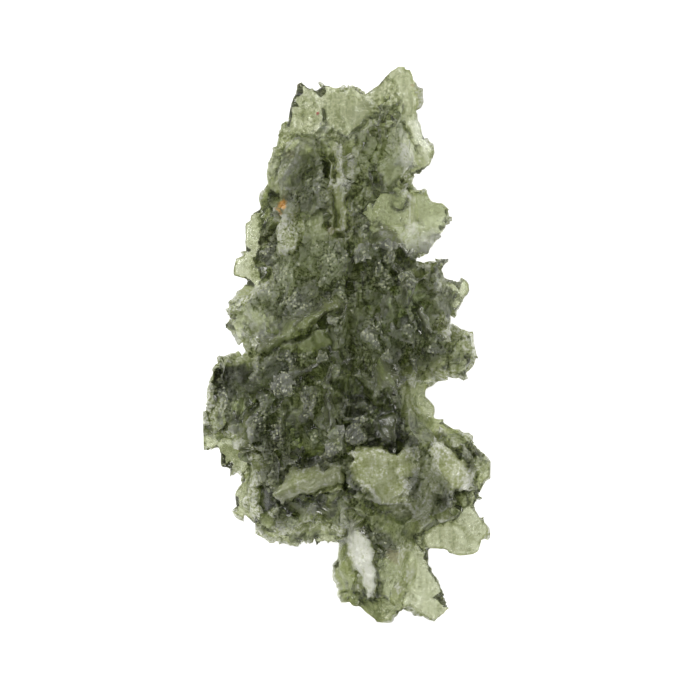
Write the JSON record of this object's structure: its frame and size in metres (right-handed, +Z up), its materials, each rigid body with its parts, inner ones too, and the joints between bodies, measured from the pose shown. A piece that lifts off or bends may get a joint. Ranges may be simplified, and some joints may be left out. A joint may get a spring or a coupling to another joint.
{
  "type": "moldavite",
  "caption": "Natural moldavite: a thin, pointed stone of deeply etched, translucent green glass with ragged ridges, spines and lobes, for display or setting.",
  "frame": {"origin": "middle of the bounding box, on the surface the stone rests on", "axes": "+Y along the stone towards its two horns, +X across it, +Z up, out of the face that the picture shows"},
  "size_m": [0.0194, 0.0376, 0.0068],
  "materials": {
    "moldavite_glass": "naturally etched, satin"
  },
  "bodies": {
    "root": {"moldavite": "moldavite_glass"}
  },
  "joints": []
}
